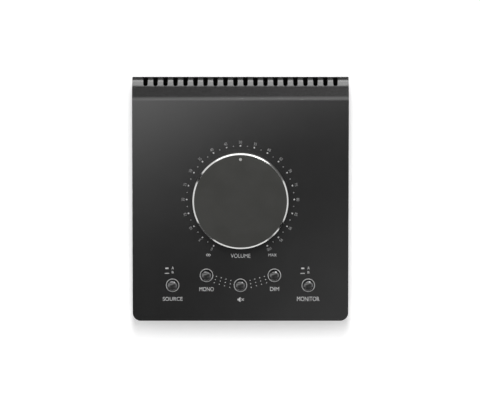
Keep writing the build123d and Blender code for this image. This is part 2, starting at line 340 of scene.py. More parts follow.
finishes = {
    "panel_paint": paintedSteel(
        "panelPaint", grey(0.0115), grey(0.0145), 0.22, 0.22 * mm, 0.003 * mm, 2.2
    ),
    "tray_paint": paintedSteel("trayPaint", grey(0.016), grey(0.021), 0.46, 0.3 * mm, 0.03 * mm),
    "plated_steel": plainMetal(
        "platedSteel", (0.5, 0.51, 0.52), (0.62, 0.62, 0.6), 0.32, (1, 0.1, 1)
    ),
    "black_screws": plainMetal("blackOxide", grey(0.03), grey(0.05), 0.36),
    "circuit_board": mouldedPlastic("boardMask", (0.006, 0.05, 0.02), (0.012, 0.075, 0.03), 0.3),
    "pot_metal": plainMetal("potMetal", (0.52, 0.51, 0.47), (0.64, 0.63, 0.6), 0.34),
    "nut_plating": plainMetal("nickelPlate", (0.62, 0.61, 0.58), (0.72, 0.71, 0.69), 0.16),
    "jack_plastic": mouldedPlastic("jackPlastic", grey(0.012), grey(0.018), 0.42),
    "header_plastic": mouldedPlastic("headerPlastic", grey(0.02), grey(0.028), 0.45),
    "ribbon_vinyl": mouldedPlastic("ribbonVinyl", (0.38, 0.38, 0.39), (0.46, 0.46, 0.47), 0.4),
    "foot_rubber": mouldedPlastic("footRubber", grey(0.012), grey(0.02), 0.75, 0.4 * mm, 0.03 * mm),
    "switch_plastic": mouldedPlastic("switchPlastic", grey(0.02), grey(0.03), 0.4),
    "plunger_plastic": mouldedPlastic(
        "plungerPlastic", (0.62, 0.61, 0.56), (0.7, 0.69, 0.64), 0.35
    ),
    "spring_steel": plainMetal("springSteel", grey(0.5), grey(0.62), 0.25),
    "cap_plastic": mouldedPlastic(
        "capPlastic", grey(0.013), grey(0.017), 0.12, 0.4 * mm, 0.001 * mm, 2.3
    ),
    "knob_metal": spunMetal(
        "knobMetal", (0.058, 0.058, 0.054), (0.066, 0.066, 0.062), 0.5, 0.28 * mm, 0.0025 * mm
    ),
    "hub_plastic": mouldedPlastic("hubPlastic", grey(0.02), grey(0.03), 0.45),
    "pointer_white": mouldedPlastic("pointerPaint", (0.42, 0.42, 0.41), (0.48, 0.48, 0.47), 0.4),
}
cutMetal = plainMetal("cutMetal", (0.67, 0.67, 0.66), (0.73, 0.73, 0.72), 0.14, None, 0.001 * mm)
printInk = mouldedPlastic("printInk", grey(0.55), grey(0.62), 0.5, 0.15 * mm, 0.002 * mm)
faintInk = mouldedPlastic("faintInk", grey(0.3), grey(0.36), 0.5, 0.15 * mm, 0.002 * mm)
# painted shade: a near-black matt finish for the slots' cut walls and the shelf below them, standing in for the
# shade inside the vents
paintedSlotShade = mouldedPlastic("paintedSlotShade", grey(0.0015), grey(0.003), 0.8, 0.3 * mm, 0.01 * mm, 1.15)

slotOf = {part["node"]: part["material_slot"] for part in frame["record"]["subparts"]}
for nodeName, node in frame["nodes"].items():
    node.data.materials.clear()
    node.data.materials.append(finishes[slotOf[nodeName]])
print("finishes made")


def dress(piece, body, slot, replaced=(), finish=None):
    piece.data.materials.clear()
    piece.data.materials.append(finish or finishes[slot])
    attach(piece, body)
    if replaced:
        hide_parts(*replaced)


def addFinish(piece, finish, wanted):  # a second finish, for the faces that pass a test
    piece.data.materials.append(finish)
    for face in piece.data.polygons:
        if wanted(face):
            face.material_index = 1


cover = {
    "sheet": 1.5 * mm,
    "ridgeFromRear": 13.65 * mm,
    "ridgeHeight": 44 * mm,
    "bandSlope": math.radians(12),
    "ridgeRadius": 10 * mm,
    "rearRadius": 8.4 * mm,
    "frontRadius": 5 * mm,
    "lipBottom": 31.5 * mm,
    "slots": 20,
    "slotPitch": 6.136 * mm,
    "slotWidth": 2.6 * mm,
    "slotFromRear": 6.1 * mm,
    "slotBottom": 33.6 * mm,
    "slotEndRadius": 1.15 * mm,
    "slotFlare": 0.25,
    "buttonHole": 3.5 * mm,
    "bushingHole": 4.7 * mm,
    "edgeRound": 0.12 * mm,
    "blockAbove": 16 * mm,
    "punchBehind": 2 * mm,
    "punchAbove": 6 * mm,
}
panelSlope = math.asin(-panelNormal.y)
ridgeY = coverHigh.y - cover["ridgeFromRear"]
blockTop = cover["ridgeHeight"] + cover["blockAbove"]
middleSlot = (cover["slots"] - 1) / 2


def housingBlock(name, low, high, inset):  # the wedge that a sheet is folded round
    block = blockBetween(low, high, name)
    bandNormal = Vector((0, math.sin(cover["bandSlope"]), math.cos(cover["bandSlope"])))
    ridgePoint = Vector((0, ridgeY, cover["ridgeHeight"]))
    editPiece(block)
    for normal in (panelNormal, bandNormal):
        bpy.ops.mesh.select_all(action="SELECT")
        bpy.ops.mesh.bisect(
            plane_co=ridgePoint - normal * inset, plane_no=normal, clear_outer=True, use_fill=True
        )
    return block


def foldTop(block, rearY, inset):  # rounds the ridge and the rear bend
    bends = (  # place, slack, radius, steps and turn
        (ridgeY, 1 * mm, cover["ridgeRadius"], 8, panelSlope + cover["bandSlope"]),
        (rearY, touching, cover["rearRadius"], 20, math.pi / 2 - cover["bandSlope"]),
    )
    for bendY, slack, radius, steps, turn in bends:
        pick(block, "EDGE", lambda e: edgeRuns(e, 0) and near(edgeMiddle(e).y, bendY, slack)
             and edgeMiddle(e).z > cover["lipBottom"])
        bevelPicked(radius - inset, steps, turn)


def slotCutters():
    half = cover["slotWidth"] / 2
    low = (-half, coverHigh.y - cover["slotFromRear"], cover["slotBottom"])
    high = (half, coverHigh.y + cover["punchBehind"], cover["ridgeHeight"] + cover["punchAbove"])
    punch = blockBetween(low, high, "slotPunch")
    editPiece(punch)
    for along, side in ((2, 1), (1, 2)):
        pick(punch, "EDGE", lambda e: edgeRuns(e, along) and near(edgeMiddle(e)[side], low[side]))
        bevelPicked(cover["slotEndRadius"], steps=5)
    leaveEdit()
    for vertex in punch.data.vertices:  # the slots open a little towards the rear
        vertex.co.x *= 1 + cover["slotFlare"] * (vertex.co.y - low[1]) / (high[1] - low[1])
    punches = [punch]
    for count in range(1, cover["slots"]):
        place = Matrix.Translation((count * cover["slotPitch"], 0, 0))
        punches.append(copied(punch, place, "slotPunch"))
    row = joined(punches, "slotPunches")
    return settle(row, Matrix.Translation((-middleSlot * cover["slotPitch"], 0, 0)))


def holePunch(radius, place, depth=8 * mm, steps=48):
    clearSelection()
    bpy.ops.mesh.primitive_cylinder_add(vertices=steps, radius=radius, depth=depth)
    return settle(named("holePunch"), place)


def capCentre(button):
    low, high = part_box(button + "_cap")
    return (panelBack @ ((low + high) / 2)).xy


buttonSpots = {button: capCentre(button) for button in buttonNames}


# the faces of the vent slots' walls, which take the painted shade
def inSlot(face):
    x, y, z = face.center
    count = x / cover["slotPitch"] + middleSlot
    aside = abs(count - round(count)) * cover["slotPitch"]
    reach = cover["slotWidth"] * (1 + cover["slotFlare"]) / 2 + touching
    inRow = 0 <= round(count) < cover["slots"] and aside < reach
    atBend = y > coverHigh.y - cover["slotFromRear"] - touching
    return inRow and atBend and z > cover["slotBottom"] - touching


def makeCover():
    low = (coverLow.x, coverLow.y, 0)
    sheet = housingBlock("coverSheet", low, (coverHigh.x, coverHigh.y, blockTop), 0)
    foldTop(sheet, coverHigh.y, 0)

    def frontCorner(edge):
        one, other = (end.co for end in edge.verts)
        return near(one.x, other.x) and near(one.y, coverLow.y) and near(other.y, coverLow.y)

    pick(sheet, "EDGE", frontCorner)
    bevelPicked(cover["frontRadius"], steps=12)
    bpy.ops.mesh.select_all(action="SELECT")
    bpy.ops.mesh.bisect(
        plane_co=(0, 0, cover["lipBottom"]), plane_no=(0, 0, 1), clear_inner=True, use_fill=False
    )
    # the upright walls, apart from the rear lip
    pick(sheet, "FACE", lambda f: abs(f.normal.z) < 0.01 and f.normal.y < facing)
    bpy.ops.mesh.delete(type="FACE")
    leaveEdit()
    modify(sheet, "SOLIDIFY", thickness=cover["sheet"], offset=-1, use_even_offset=True)
    for spot in buttonSpots.values():
        carve(sheet, holePunch(cover["buttonHole"], onPanel(*spot)))
    carve(sheet, holePunch(cover["bushingHole"], panelPlace))
    softenEdges(sheet, cover["edgeRound"])
    carve(sheet, slotCutters())  # after the soft edges, which have no room at the slots' corners
    smooth(sheet)
    dress(sheet, "housing", "panel_paint", ["top_cover"])
    # painted shade: the slots' cut walls take the near-black finish in place of the paint
    addFinish(sheet, paintedSlotShade, inSlot)


makeCover()
print("cover folded")


tray = {
    "sheet": 1.5 * mm,
    "underCover": 1.7 * mm,
    "foldRadius": 2 * mm,
    "screwHole": 1.7 * mm,
    "edgeRound": 0.1 * mm,
    "openAbove": 20 * mm,
    "topLean": 0.15,
    "rearLean": 0.02,
}
connector = {
    "recess": 4 * mm,
    "flangeLow": 8 * mm,
    "flangeHigh": 31 * mm,
    "shelfInset": 2.3 * mm,
    "foldRadius": 2 * mm,
    "bushingHole": 4.7 * mm,
    "cutTop": 60 * mm,
    "cutReach": 100 * mm,
    "cutPast": 1 * mm,
}
trayLow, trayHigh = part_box("base_tray")
connectorLow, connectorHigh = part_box("rear_panel")
connectorFace = coverHigh.y - connector["recess"]
jackNames = [f"{kind}_jack_{number}" for kind in ("monitor", "source") for number in range(1, 5)]


def toSide(spot, side):  # a place whose Z points out of the left or right wall
    return Matrix.Translation(spot) @ Matrix.Rotation(side * math.pi / 2, 4, "Y")


def toRear(spot):  # a place whose Z points to the rear
    return Matrix.Translation(spot) @ Matrix.Rotation(-math.pi / 2, 4, "X")


def boxOf(vertices):  # the lowest and the highest corner
    sides = list(zip(*(vertex.co for vertex in vertices)))
    return Vector([min(side) for side in sides]), Vector([max(side) for side in sides])


def islands(nodeName):  # the box of each separate solid in a node
    mesh = bmesh.new()
    mesh.from_mesh(frame["nodes"][nodeName].data)
    bmesh.ops.remove_doubles(mesh, verts=mesh.verts, dist=weldGap)
    left = set(mesh.verts)
    boxes = []
    while left:
        group = [left.pop()]
        for vertex in group:
            for edge in vertex.link_edges:
                other = edge.other_vert(vertex)
                if other in left:
                    left.remove(other)
                    group.append(other)
        boxes.append(boxOf(group))
    mesh.free()
    return sorted(boxes, key=lambda corners: tuple(corners[0]))


screwBoxes = islands("side_screws")


def jackPlace(name):
    low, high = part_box(name)
    return Vector(((low.x + high.x) / 2, high.y, (low.z + high.z) / 2))


def makeTray():
    high = (trayHigh.x, trayHigh.y, blockTop)
    sheet = housingBlock("baseTraySheet", trayLow, high, tray["underCover"])
    foldTop(sheet, trayHigh.y, tray["underCover"])

    def bend(edge):
        middle = edgeMiddle(edge)
        upright = edgeRuns(edge, 2) and near(middle.y, trayLow.y)
        return upright or (near(middle.z, trayLow.z) and not near(middle.y, trayHigh.y))

    def opening(face):  # the tray has no top and no rear
        up, back = face.normal.z, face.normal.y
        bends = up > -tray["rearLean"] and back > tray["rearLean"]
        isHigh = face.calc_center_median().z > tray["openAbove"]
        return back > aligned or (isHigh and (bends or up > tray["topLean"]))

    pick(sheet, "EDGE", bend)
    bevelPicked(tray["foldRadius"], steps=5)
    pick(sheet, "FACE", opening)
    bpy.ops.mesh.delete(type="FACE")
    leaveEdit()
    modify(sheet, "SOLIDIFY", thickness=tray["sheet"], offset=-1, use_even_offset=True)
    for low, high in screwBoxes:
        middle = (low + high) / 2
        side = 1 if middle.x > 0 else -1
        spot = (side * trayHigh.x, middle.y, middle.z)
        carve(sheet, holePunch(tray["screwHole"], toSide(spot, side), steps=24))
    softenEdges(sheet, tray["edgeRound"])
    smooth(sheet)
    dress(sheet, "housing", "tray_paint", ["base_tray"])


def makeConnectorPanel():
    top = connectorHigh.z - tray["sheet"]
    reach = connectorHigh.x - connector["shelfInset"]
    plate = blockBetween(connectorLow, (connectorHigh.x, connectorFace, top), "connectorPlate")
    editPiece(plate)
    pick(plate, "EDGE", lambda e: edgeRuns(e, 2) and near(edgeMiddle(e).y, connectorFace))
    bevelPicked(connector["foldRadius"], steps=5)
    pick(plate, "FACE", lambda f: f.normal.y < -facing or abs(f.normal.z) > facing)
    bpy.ops.mesh.delete(type="FACE")
    for x in (-reach, reach):
        bpy.ops.mesh.select_all(action="SELECT")
        bpy.ops.mesh.bisect(plane_co=(x, 0, 0), plane_no=(1, 0, 0))

    def onFold(edge):
        middle = edgeMiddle(edge)
        inPlace = near(middle.y, connectorFace) and near(middle.z, top)
        return edgeRuns(edge, 0) and inPlace and abs(middle.x) < reach

    pick(plate, "EDGE", onFold)
    shelf = {"value": (0, connectorHigh.y - connectorFace, 0)}
    bpy.ops.mesh.extrude_edges_move(TRANSFORM_OT_translate=shelf)
    pick(plate, "EDGE", onFold)
    bevelPicked(connector["foldRadius"] - tray["sheet"], steps=3)
    leaveEdit()
    modify(plate, "SOLIDIFY", thickness=tray["sheet"], offset=-1, use_even_offset=True)
    bendY = connectorFace - tray["sheet"] - connector["foldRadius"]
    side, front = connector["cutReach"], connectorLow.y - connector["cutPast"]
    for low, high in ((0, connector["flangeLow"]), (connector["flangeHigh"], connector["cutTop"])):
        carve(plate, blockBetween((-side, front, low), (side, bendY, high), "flangeCut"))
    for name in jackNames:
        punch = holePunch(connector["bushingHole"], toRear(jackPlace(name)), depth=20 * mm)
        carve(plate, punch)
    softenEdges(plate, tray["edgeRound"])
    smooth(plate)
    dress(plate, "housing", "tray_paint", ["rear_panel"])
    # painted shade: the shelf's upward faces under the slots take the near-black finish in place of the paint
    lowest = top - tray["sheet"]  # of the shelf under the slots
    addFinish(plate, paintedSlotShade, lambda f: f.normal.z > 0.5 and f.center.z > lowest)


makeTray()
makeConnectorPanel()
print("tray and connector panel folded")


knob = {
    "chamfer": 0.88 * mm,
    "cutWidth": 0.05 * mm,
    "wall": 3 * mm,
    "crown": 2.5 * mm,
    "skirtRound": 0.35 * mm,
    "grooveHeight": 2.2 * mm,
    "grooveDepth": 0.35 * mm,
    "chamferLean": (0.4, 0.98),
    "pointerRadius": 0.9 * mm,
    "pointerFit": 0.99,
    "pointerEdge": 0.03 * mm,
    "pointerFloor": 0.02 * mm,
    "pointerDepth": 0.8 * mm,
    "pointerDish": 0.18 * mm,
    "dishSteps": ((0.9, 0), (0.72, 0.5), (0.4, 0.9), (0, 1)),  # shares of the radius and the dish
}


def panelHeights(nodeName):  # a node's lowest and highest point above the panel, and its radius
    node = frame["nodes"][nodeName]
    heights = [(panelBack @ vertex.co).z for vertex in node.data.vertices]
    low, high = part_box(nodeName)
    return min(heights), max(heights), (high.x - low.x) / 2


def makeKnob():
    bottom, top, radius = panelHeights("knob_shell")
    inner, rim = radius - knob["wall"], radius - knob["chamfer"]
    shoulder, cut = top - knob["chamfer"], knob["cutWidth"]
    groove, depth = bottom + knob["grooveHeight"], knob["grooveDepth"]
    edge = knob["skirtRound"]
    stations = [
        (rim - cut, top),
        (rim, top - cut / 2),
        (radius - cut / 2, shoulder),
        (radius, shoulder - cut),
        (radius, groove + 2 * depth),
        (radius - depth, groove + depth),
        (radius - depth, groove - depth),
        (radius, groove - 2 * depth),
        (radius, bottom + edge),
        (radius - roundShare * edge, bottom + roundShare * edge),
        (radius - edge, bottom),
        (inner + edge, bottom),
        (inner, bottom + edge),
        (inner, top - knob["crown"]),
    ]
    shell = turned("knobShell", stations, panelPlace, steps=160)
    pointerLow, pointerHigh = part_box("knob_pointer")
    spot = panelBack @ ((pointerLow + pointerHigh) / 2)
    pocket = onPanel(spot.x, spot.y, up=top)
    carve(shell, holePunch(knob["pointerRadius"], pocket, 2 * knob["pointerDepth"], steps=32))
    smooth(shell, angle=28)
    dress(shell, "knob", "knob_metal", ["knob_shell"])

    def onChamfer(face):
        steepest, flattest = knob["chamferLean"]
        middle = panelBack @ face.center
        outer = middle.xy.length > radius - 2 * knob["chamfer"]
        leans = steepest < panelNormal @ face.normal < flattest
        return leans and outer and middle.z > shoulder - cut

    addFinish(shell, cutMetal, onChamfer)
    side = knob["pointerRadius"] * knob["pointerFit"]
    dish = [
        (side, top - knob["pointerDepth"] + knob["pointerFloor"]),
        (side, top - knob["pointerEdge"]),
    ]
    for across, down in knob["dishSteps"]:
        dish.append((knob["pointerRadius"] * across, top - knob["pointerDish"] * down))
    pointer = turned("knobPointer", dish, onPanel(spot.x, spot.y), steps=32)
    smooth(pointer, angle=50)
    dress(pointer, "knob", "pointer_white", ["knob_pointer"])


makeKnob()
print("knob turned")


cap = {
    "domeRise": 1.55 * mm,
    "domeFullness": 1.15,
    "footRound": 0.2 * mm,
    "domeSteps": 10,
}


def makeCaps():
    for button in buttonNames:
        bottom, top, radius = panelHeights(button + "_cap")
        rise, edge = cap["domeRise"], cap["footRound"]
        stations = [(radius - edge, bottom), (radius, bottom + edge)]
        for step in range(cap["domeSteps"]):
            lift = math.pi / 2 * step / cap["domeSteps"]
            across = math.cos(lift) ** cap["domeFullness"]
            stations.append((radius * across, top - rise + rise * math.sin(lift)))
        stations.append((0, top))
        place = onPanel(*buttonSpots[button])
        piece = turned(button + "Cap", stations, place, steps=48)
        smooth(piece, angle=60)
        dress(piece, button + "_button", "cap_plastic", [button + "_cap"])


makeCaps()
print("caps turned")


spring = {
    "coilRadius": 2.35 * mm,
    "wire": 0.4 * mm,
    "turns": 3,
    "stepsPerTurn": 24,
    "wireSides": 10,
}


def makeSprings():
    for button in buttonNames:
        bottom, top = panelHeights(button + "_spring")[:2]
        half = spring["wire"] / 2
        clearSelection()
        bpy.ops.mesh.primitive_circle_add(
            vertices=spring["wireSides"], radius=half,
            location=(spring["coilRadius"], 0, bottom + half), rotation=(math.pi / 2, 0, 0),
        )
        coil = settle(named(button + "Spring"))
        pitch = (top - bottom - 2 * half) / spring["turns"]
        modify(
            coil, "SCREW", axis="Z", angle=2 * math.pi, screw_offset=pitch,
            iterations=spring["turns"], steps=spring["stepsPerTurn"],
        )
        editPiece(coil)
        bpy.ops.mesh.fill_holes(sides=0)
        bpy.ops.mesh.normals_make_consistent(inside=False)
        leaveEdit()
        smooth(coil, angle=50)
        place = onPanel(*buttonSpots[button])
        settle(coil, place)
        dress(coil, "housing", "spring_steel", [button + "_spring"])
        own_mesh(coil)


makeSprings()
print("springs wound")


jack = {
    "bushing": 4.5 * mm,
    "bore": 3.25 * mm,
    "boreDepth": 29.4 * mm,
    "lead": 0.35 * mm,
    "threadPitch": 0.5 * mm,
    "threadDepth": 0.16 * mm,
    "threadFrom": 0.2 * mm,
    "rootBehind": 1 * mm,
    "bodyRound": 0.5 * mm,
}
nut = {
    "acrossFlats": 11 * mm,
    "washer": 0.35 * mm,
    "washerRadius": 6.1 * mm,
    "washerHole": 0.3 * mm,
    "cornerCut": 0.5 * mm,
    "cornerSlope": 1.6,
    "edge": 0.08 * mm,
    "clearance": 0.04 * mm,
    "nextTurn": 17,
}
screw = {
    "crossWidth": 0.62 * mm,
    "crossLength": 2.9 * mm,
    "crossDepth": 1.1 * mm,
    "crossCorner": 0.5 * mm,
    "shank": 1.5 * mm,
    "threadPitch": 0.5 * mm,
    "threadDepth": 0.2 * mm,
    "tip": (0.7, 0.4 * mm),  # share of the shank, and length
    "head": 1.8 * mm,
    "headSteps": ((1, 0), (1, 0.45), (0.96, 0.68), (0.84, 0.86), (0.6, 0.96), (0.3, 1)),
    "nextTurn": 31,
}
foot = {
    "flare": 0.8 * mm,
    "edgeRound": 0.45 * mm,
    "recess": 2.2 * mm,
    "recessDepth": 0.9 * mm,
    "recessLead": 0.2 * mm,
    "recessTaper": 0.9,
    "sideStep": 0.1 * mm,
}


def makeJacks():
    low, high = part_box(jackNames[0])
    centre = jackPlace(jackNames[0])
    bodyRear = connectorFace - tray["sheet"]
    body = blockBetween(low, (high.x, bodyRear, high.z), "jackBody")
    settle(body, Matrix.Translation(-centre))
    softenEdges(body, jack["bodyRound"], steps=3)
    peak, bore, lead, pitch = jack["bushing"], jack["bore"], jack["lead"], jack["threadPitch"]
    valley = peak - jack["threadDepth"]
    stations = [(valley, bodyRear - centre.y - jack["rootBehind"])]
    thread = bodyRear - centre.y + jack["threadFrom"]
    while thread < -lead - pitch:
        stations.append((valley, thread))
        stations.append((peak, thread + pitch / 2))
        thread += pitch
    stations += [  # height 0 is the mouth
        (valley, thread),
        (peak - 0.5 * jack["threadDepth"], -lead),
        (peak - lead, 0),
        (bore + lead, 0),
        (bore, -lead),
        (bore, -jack["boreDepth"]),
    ]
    sleeve = turned("jackSleeve", stations, toRear((0, 0, 0)), steps=40)
    smooth(sleeve, angle=20)
    smooth(body, angle=30)
    for part, finish in ((body, "jack_plastic"), (sleeve, "nut_plating")):
        part.data.materials.clear()
        part.data.materials.append(finishes[finish])
    pattern = joined([body, sleeve], "jackPattern")
    for name in jackNames:
        kind, number = name.split("_jack_")
        piece = copied(pattern, Matrix.Translation(jackPlace(name)), kind + "Jack" + number)
        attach(piece, "housing")
        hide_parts(name)
    bpy.data.objects.remove(pattern)


def makeNuts():
    boxes = islands("jack_nuts")
    low, high = boxes[0]
    height = high.y - low.y
    corner = nut["acrossFlats"] / math.sqrt(3)
    clearSelection()
    bpy.ops.mesh.primitive_cylinder_add(
        vertices=6, radius=corner, depth=height - nut["washer"],
        location=(0, 0, (height + nut["washer"]) / 2), rotation=(0, 0, 0),
    )
    pattern = settle(named("jackNut"))
    cut, small = nut["cornerCut"], corner - nut["cornerCut"] * nut["cornerSlope"]
    wide, past = corner + 0.1 * mm, 0.01 * mm
    cutStations = [
        (small, nut["washer"] - past),
        (wide, nut["washer"] + cut),
        (wide, height - cut),
        (small, height + past),
    ]
    carve(pattern, turned("nutCorners", cutStations, None, steps=60), "INTERSECT")
    hole = jack["bushing"] + nut["clearance"]
    carve(pattern, holePunch(hole, Matrix.Identity(4), depth=20 * mm, steps=40))
    softenEdges(pattern, nut["edge"])
    hole = jack["bushing"] + nut["washerHole"]
    side, rise, edge = nut["washerRadius"], nut["washer"], nut["edge"]
    washerStations = [
        (hole, 0), (side, 0), (side, rise - edge), (side - edge, rise), (hole, rise), (hole, 0),
    ]
    washer = turned("nutWasher", washerStations, None, steps=48)
    pattern = joined([pattern, washer], "jackNut")
    smooth(pattern, angle=25)
    nuts = []
    for count, (low, high) in enumerate(boxes):
        spot = ((low.x + high.x) / 2, low.y, (low.z + high.z) / 2)
        nuts.append(copied(pattern, toRear(spot) @ spun(nut["nextTurn"] * count), "jackNut"))
    bpy.data.objects.remove(pattern)
    dress(joined(nuts, "jackNuts"), "housing", "nut_plating", ["jack_nuts"])


def makeScrews():
    low, high = screwBoxes[0]
    radius = (high.y - low.y) / 2
    peak, pitch, head = screw["shank"], screw["threadPitch"], screw["head"]
    valley = peak - screw["threadDepth"]
    tip = head - (high.x - low.x)
    tipShare, tipLength = screw["tip"]
    thread = tip + tipLength
    stations = [(peak * tipShare, tip), (valley, thread)]
    while thread < -pitch:
        stations.append((peak, thread + pitch / 2))
        stations.append((valley, thread + pitch))
        thread += pitch
    stations.append((valley, 0))
    for across, up in screw["headSteps"]:
        stations.append((radius * across, up * head))
    pattern = turned("sideScrew", stations, None, steps=32)
    halfLength, halfWidth = screw["crossLength"] / 2, screw["crossWidth"] / 2
    for turn in (0, 90):
        low = (-halfLength, -halfWidth, head - screw["crossDepth"])
        crossCut = blockBetween(low, (halfLength, halfWidth, head + 1 * mm), "crossCut")
        editPiece(crossCut)
        pick(crossCut, "EDGE", lambda e: edgeRuns(e, 1) and e.verts[0].co.z < head)
        bpy.ops.mesh.bevel(offset=screw["crossCorner"], segments=1, affect="EDGES")
        leaveEdit()
        carve(pattern, settle(crossCut, spun(turn)))
    smooth(pattern, angle=25)
    screws = []
    for count, (low, high) in enumerate(screwBoxes):
        side = 1 if low.x > 0 else -1
        spot = (side * trayHigh.x, (low.y + high.y) / 2, (low.z + high.z) / 2)
        place = toSide(spot, side) @ spun(screw["nextTurn"] * count)
        screws.append(copied(pattern, place, "sideScrew"))
    bpy.data.objects.remove(pattern)
    dress(joined(screws, "sideScrews"), "housing", "black_screws", ["side_screws"])


def makeFeet():
    edge, lead = foot["edgeRound"], foot["recessLead"]
    for node in ("front_feet", "rear_feet"):
        pads = []
        for low, high in islands(node):
            radius = (high.x - low.x) / 2
            height = high.z - low.z
            sole = radius - foot["flare"]
            stations = [
                (foot["recess"] * foot["recessTaper"], low.z + foot["recessDepth"]),
                (foot["recess"], low.z + lead),
                (foot["recess"] + lead, low.z),
                (sole - edge, low.z),
                (sole - roundShare * edge, low.z + roundShare * edge),
                (sole + foot["sideStep"], low.z + edge),
                (radius, low.z + height),
            ]
            place = Matrix.Translation(((low.x + high.x) / 2, (low.y + high.y) / 2, 0))
            pads.append(turned("footPad", stations, place, steps=48))
        pair = joined(pads, node.replace("_feet", "Feet"))
        smooth(pair, angle=40)
        dress(pair, "housing", "foot_rubber", [node])


makeJacks()
makeNuts()
makeScrews()
makeFeet()
print("jacks, nuts, screws and feet made")


ink = {
    "film": 0.02 * mm,
    "ringRadius": 3.9 * mm,
    "ringWidth": 0.38 * mm,
    "ringSide": (0.1, 0.7),  # shares of the ring's width and of the film
    "dotSide": (0.85, 0.6),  # shares of the dot's radius and of the film
    "barCorner": 0.12,
}
scale = {
    "dotCircle": 33.05 * mm,
    "numberCircle": 35.35 * mm,
    "mainDot": 0.5 * mm,
    "smallDot": 0.34 * mm,
    "step": 7.5,
    "sweep": 150,
    "numberHeight": 1.75 * mm,
    "numberStretch": 0.85,
    "highest": 100,
}
legends = {  # middle across, middle up the panel, width and height of each printed word
    "VOLUME": (0.06 * mm, -34.8 * mm, 12.1 * mm, 2.45 * mm),
    "MAX": (19.75 * mm, -34.25 * mm, 5.1 * mm, 1.75 * mm),
    "MONO": (-20.9 * mm, -55.45 * mm, 8.9 * mm, 2.55 * mm),
    "DIM": (21.05 * mm, -55.35 * mm, 5.6 * mm, 2.45 * mm),
    "SOURCE": (-41.8 * mm, -61.5 * mm, 12.2 * mm, 2.35 * mm),
    "MONITOR": (41.8 * mm, -61.5 * mm, 13.8 * mm, 2.75 * mm),
}
stateKey = {  # the sign above a two-way button: a raised key for A, a pressed key for B
    "signX": -3.45 * mm,
    "letterX": 0.08 * mm,
    "raised": (1.9 * mm, 0.9 * mm, 10.5 * mm),
    "pressed": (2.6 * mm, 0.45 * mm, 7.4 * mm),
    "A": (1.35 * mm, 1.8 * mm, 10.75 * mm),
    "B": (1.15 * mm, 1.45 * mm, 8.05 * mm),
}
dotBand = {
    "columns": 4,
    "rows": 3,
    "firstX": 5.95 * mm,
    "pitchX": 2.94 * mm,
    "lean": 0.34 * mm,
    "leanGrowth": 0.12 * mm,
    "topY": -50.04 * mm,
    "climb": 0.82 * mm,
    "rowGap": 2.15 * mm,
    "rowSpread": 0.075 * mm,
    "radius": 0.29 * mm,
}
muteSign = {  # a loudspeaker and a cross
    "at": (-0.05 * mm, -61.95 * mm),
    "bars": (  # width, height, place across, degrees, flare
        (0.75 * mm, 1.15 * mm, -1.45 * mm, 0, 1),
        (1.25 * mm, 1.15 * mm, -0.55 * mm, 0, 2.8),
        (2.1 * mm, 0.34 * mm, 1.4 * mm, 45, 1),
        (2.1 * mm, 0.34 * mm, 1.4 * mm, -45, 1),
    ),
}
loops = {"radius": 0.6 * mm, "width": 0.28 * mm, "at": (-19.75 * mm, -34.3 * mm)}


def printedText(words, x, y, height, width=None, stretch=1.0, turn=0):
    clearSelection()
    bpy.ops.object.text_add(location=(0, 0, 0))
    text = bpy.context.object
    text.data.body = words
    text.data.size = 10 * mm
    text.data.align_x = "CENTER"
    text.data.resolution_u = 4
    text.data.extrude = 0.5 * mm
    bpy.ops.object.convert(target="MESH")
    piece = named("print" + words)
    editPiece(piece)
    bpy.ops.mesh.remove_doubles(threshold=weldGap)
    leaveEdit()
    low, high = boxOf(piece.data.vertices)
    tall = height / (high.y - low.y)
    wide = width / (high.x - low.x) if width else tall * stretch
    flat = ink["film"] / (high.z - low.z)
    centred = Matrix.Translation((-(low.x + high.x) / 2, -(low.y + high.y) / 2, -low.z))
    shrink = Matrix.Diagonal((wide, tall, flat, 1))
    return settle(piece, onPanel(x, y, turn) @ shrink @ centred)


def printedDot(radius, x, y):
    across, up = ink["dotSide"]
    stations = [(radius, 0), (radius, up * ink["film"]), (across * radius, ink["film"])]
    return turned("printDot", stations, onPanel(x, y), steps=14)


def printedRing(radius, width, x, y, steps=72):
    inner, outer = radius - width / 2, radius + width / 2
    across, side = ink["ringSide"][0] * width, ink["ringSide"][1] * ink["film"]
    stations = [
        (inner, 0), (outer, 0), (outer, side), (outer - across, ink["film"]),
        (inner + across, ink["film"]), (inner, side), (inner, 0),
    ]
    return turned("printRing", stations, onPanel(x, y), steps)


def printedBar(width, height, x, y, turn=0, flare=1.0):
    corner = (width / 2, height / 2, ink["film"])
    bar = blockBetween((-width / 2, -height / 2, 0), corner, "printBar")
    editPiece(bar)
    pick(bar, "FACE", lambda f: f.normal.x > facing)
    bpy.ops.transform.resize(value=(1, flare, 1), center_override=(width / 2, 0, 0))
    pick(bar, "EDGE", lambda e: edgeRuns(e, 2))
    bpy.ops.mesh.bevel(offset=ink["barCorner"] * min(width, height), segments=2, affect="EDGES")
    leaveEdit()
    return settle(bar, onPanel(x, y, turn))


def asPrint(pieces, name, finish=printInk):
    dress(joined(pieces, name), "housing", "panel_paint", finish=finish)


def makeScalePrint():
    marks, smallMarks, numbers = [], [], []
    steps = round(scale["sweep"] / scale["step"])
    inner, outer = scale["dotCircle"], scale["numberCircle"]
    for count in range(-steps, steps + 1):
        degrees = count * scale["step"]
        x, y = math.sin(math.radians(degrees)), math.cos(math.radians(degrees))
        row, size = (smallMarks, "smallDot") if count % 2 else (marks, "mainDot")
        row.append(printedDot(scale[size], inner * x, inner * y))
        if row is marks:
            value = round((count + steps) * scale["highest"] / (2 * steps))
            numbers.append(printedText(
                str(value), outer * x, outer * y, scale["numberHeight"],
                stretch=scale["numberStretch"], turn=-degrees,
            ))
    asPrint(marks, "scaleDots")
    asPrint(smallMarks, "scaleSmallDots", faintInk)
    asPrint(numbers, "scaleNumbers", faintInk)


